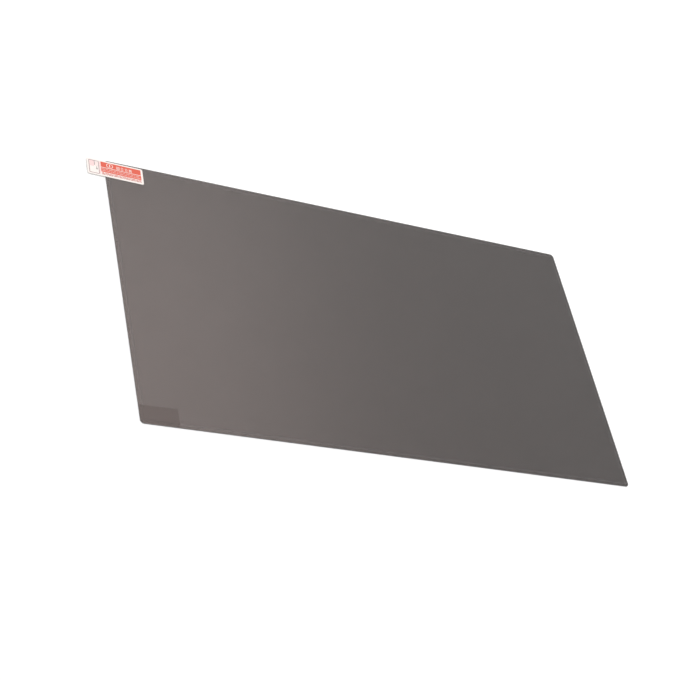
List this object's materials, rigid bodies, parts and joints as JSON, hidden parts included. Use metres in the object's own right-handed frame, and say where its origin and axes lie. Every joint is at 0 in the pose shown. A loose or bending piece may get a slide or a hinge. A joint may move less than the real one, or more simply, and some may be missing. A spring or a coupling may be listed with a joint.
{
  "type": "laptop screen filter film",
  "caption": "Rectangular smoked filter film for a wide laptop screen, with clear liners on both faces and a pull tab for each liner.",
  "frame": {"origin": "centre of the filter sheet's screen side, the face that goes on the screen", "axes": "+X along the long edges, towards the short side without tabs; +Y towards the long edge with the front pull tab; +Z out of the seen face"},
  "size_m": [0.3556, 0.1934, 0.0008],
  "materials": {
    "smoked_film": "smoked translucent PET laminate, satin",
    "clear_film": "clear PET, glossy",
    "tab_film": "white PET label, printed red on the front tab, glossy"
  },
  "bodies": {
    "root": {"filter_sheet": "smoked_film", "front_liner": "clear_film", "back_liner": "clear_film", "front_pull_tab": "tab_film", "back_pull_tab": "tab_film"}
  },
  "joints": []
}
